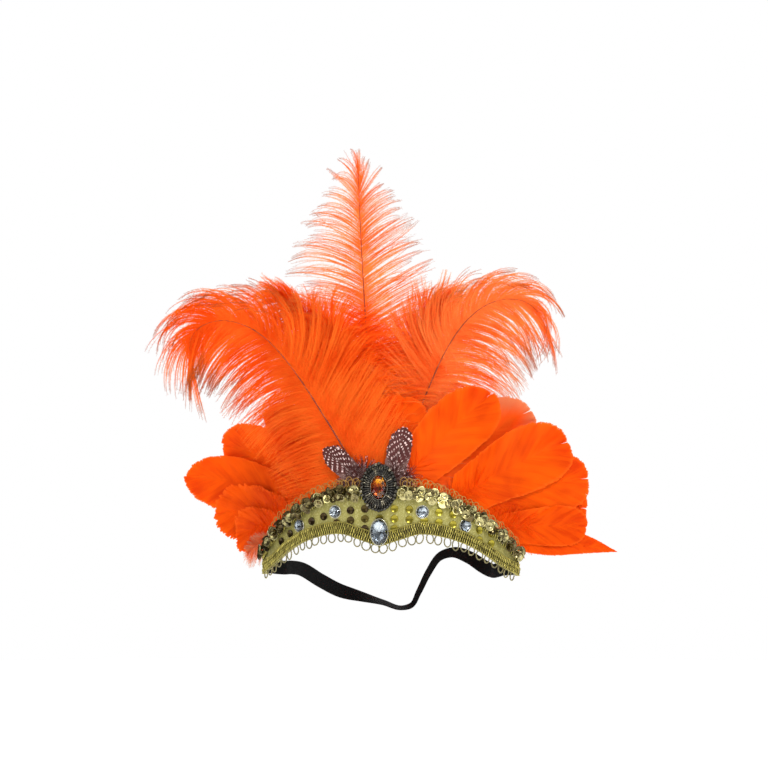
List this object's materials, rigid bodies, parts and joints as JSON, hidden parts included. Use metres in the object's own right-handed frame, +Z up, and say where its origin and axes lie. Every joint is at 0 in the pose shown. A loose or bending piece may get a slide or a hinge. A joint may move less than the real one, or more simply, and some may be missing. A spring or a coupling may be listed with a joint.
{
  "type": "carnival feather headdress",
  "caption": "Carnival headdress: a curved gold sequin band with a brooch and stones, tall ostrich plumes, a fan of broad orange feathers and an elastic strap.",
  "frame": {"origin": "middle of the band's inner face, where it rests on the forehead", "axes": "-Y to the front, +Y towards the head, +Z up"},
  "size_m": [0.3211, 0.1224, 0.3285],
  "materials": {
    "gold_fabric": "pale gold lame",
    "gold_braid": "metallic gimp",
    "gold_sequin": "metallised foil",
    "gunmetal": "dark metallic beads",
    "red_stone": "faceted",
    "clear_stone": "faceted, foil backed",
    "guinea": "spotted feather",
    "orange_plume": "dyed ostrich feather",
    "orange_feather": "dyed broad feather",
    "pale_down": "dyed down",
    "black_elastic": "ribbed elastic"
  },
  "bodies": {
    "root": {"band": "gold_fabric", "lower_braid": "gold_braid", "sequin_trim": "gold_sequin", "brooch_base": "gunmetal", "brooch_bead_rim": "gunmetal", "brooch_stone": "red_stone", "band_stone_centre": "clear_stone", "band_stone_left_outer": "clear_stone", "band_stone_left_inner": "clear_stone", "band_stone_right_inner": "clear_stone", "band_stone_right_outer": "clear_stone", "guinea_feather_left": "guinea", "guinea_feather_right": "guinea", "plume_left": "orange_plume", "plume_centre": "orange_plume", "plume_right": "orange_plume", "plume_front": "orange_plume", "plume_back_left": "orange_plume", "plume_back_right": "orange_plume", "broad_feather_right_1": "orange_feather", "broad_feather_right_2": "orange_feather", "broad_feather_right_3": "orange_feather", "broad_feather_right_4": "orange_feather", "broad_feather_right_5": "orange_feather", "broad_feather_right_6": "orange_feather", "broad_feather_right_7": "orange_feather", "broad_feather_right_8": "orange_feather", "broad_feather_left_1": "orange_feather", "broad_feather_left_2": "orange_feather", "broad_feather_left_3": "orange_feather", "broad_feather_left_4": "orange_feather", "broad_feather_left_5": "orange_feather", "down_tuft_left": "pale_down", "strap": "black_elastic"}
  },
  "joints": []
}
